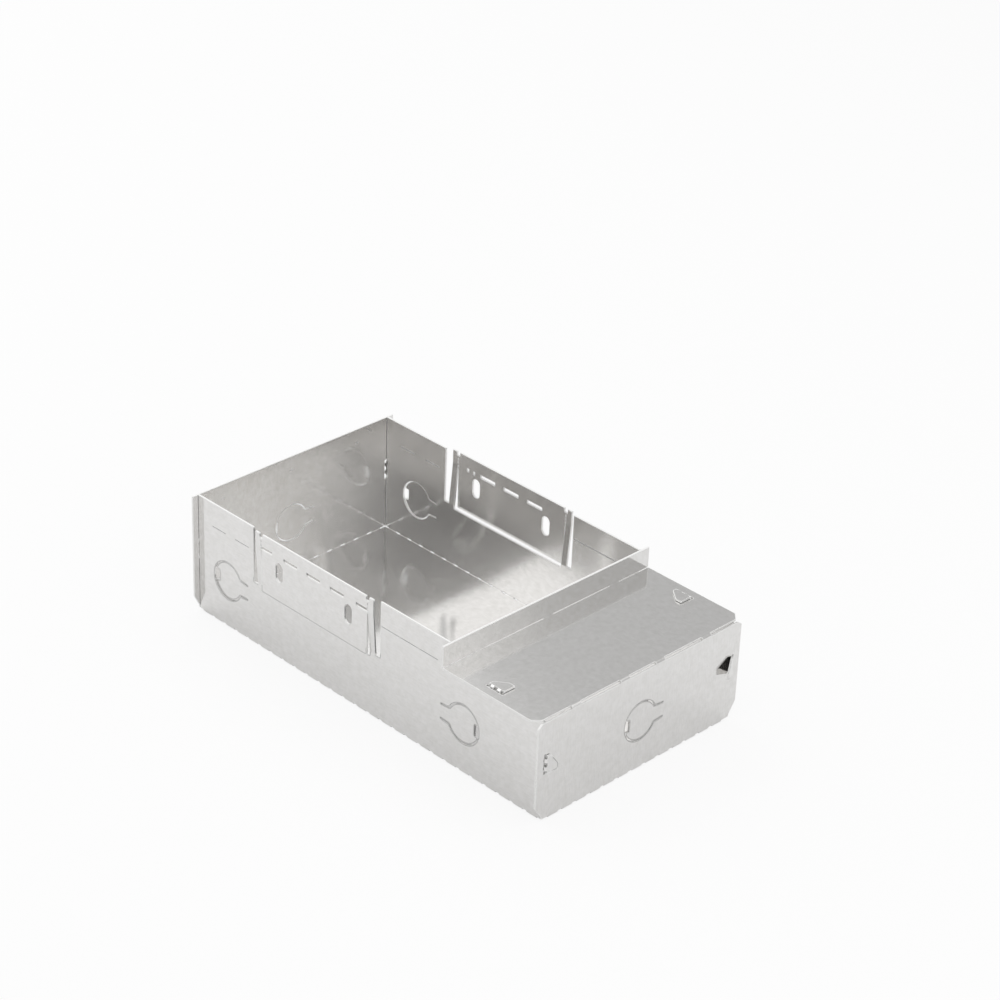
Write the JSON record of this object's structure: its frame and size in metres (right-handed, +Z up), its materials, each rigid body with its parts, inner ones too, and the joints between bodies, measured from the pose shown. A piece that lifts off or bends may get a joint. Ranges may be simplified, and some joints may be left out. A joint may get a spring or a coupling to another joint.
{
  "type": "recessed junction box",
  "caption": "Folded steel junction box with an open well, a covered bay, perforated folds, knockouts and slotted fixing ears.",
  "frame": {"origin": "middle of the floor's underside, halfway between the two end walls and the two long walls", "axes": "X along the box, from the open well towards the covered bay; Y across it; Z up, out of the well's mouth"},
  "size_m": [0.2553, 0.14, 0.068],
  "materials": {
    "galvanised_sheet": "bright galvanised sheet, as rolled"
  },
  "bodies": {
    "root": {"folded_box": "galvanised_sheet"}
  },
  "joints": []
}
